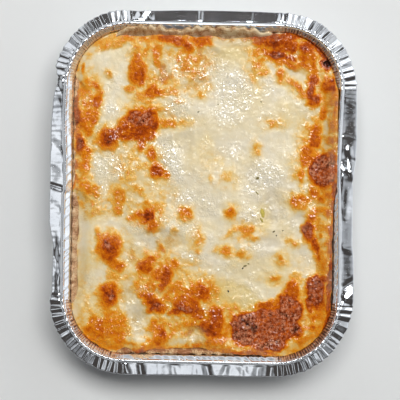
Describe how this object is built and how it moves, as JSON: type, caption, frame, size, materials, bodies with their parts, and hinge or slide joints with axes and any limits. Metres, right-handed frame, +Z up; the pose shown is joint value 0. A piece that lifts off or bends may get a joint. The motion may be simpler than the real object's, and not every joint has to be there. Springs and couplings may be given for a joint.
{
  "type": "baked beef lasagna in a foil tray",
  "caption": "Baked beef lasagna with a browned, blistered cheese topping and ruffled pasta edges, in an oblong foil tray with a rolled rim and pleated corners.",
  "frame": {"origin": "under the middle of the tray, on the surface that it stands on", "axes": "+X along the tray's short side, +Y along its long side, +Z up"},
  "size_m": [0.2696, 0.3244, 0.0582],
  "materials": {
    "foil": "bright thin foil, pressed and creased",
    "filling": "cooked minced beef in tomato sauce",
    "pasta": "baked pasta, stained by sauce at its edges",
    "sauce": "thick meat sauce",
    "cheese": "melted cheese, cream with orange and brown blisters, glossy",
    "herb": "dried herb and black pepper"
  },
  "bodies": {
    "root": {"foil_tray": "foil", "beef_filling": "filling", "pasta_sheet_lower": "pasta", "beef_sauce": "sauce", "pasta_sheet_upper": "pasta", "cheese_topping": "cheese"}
  },
  "joints": []
}
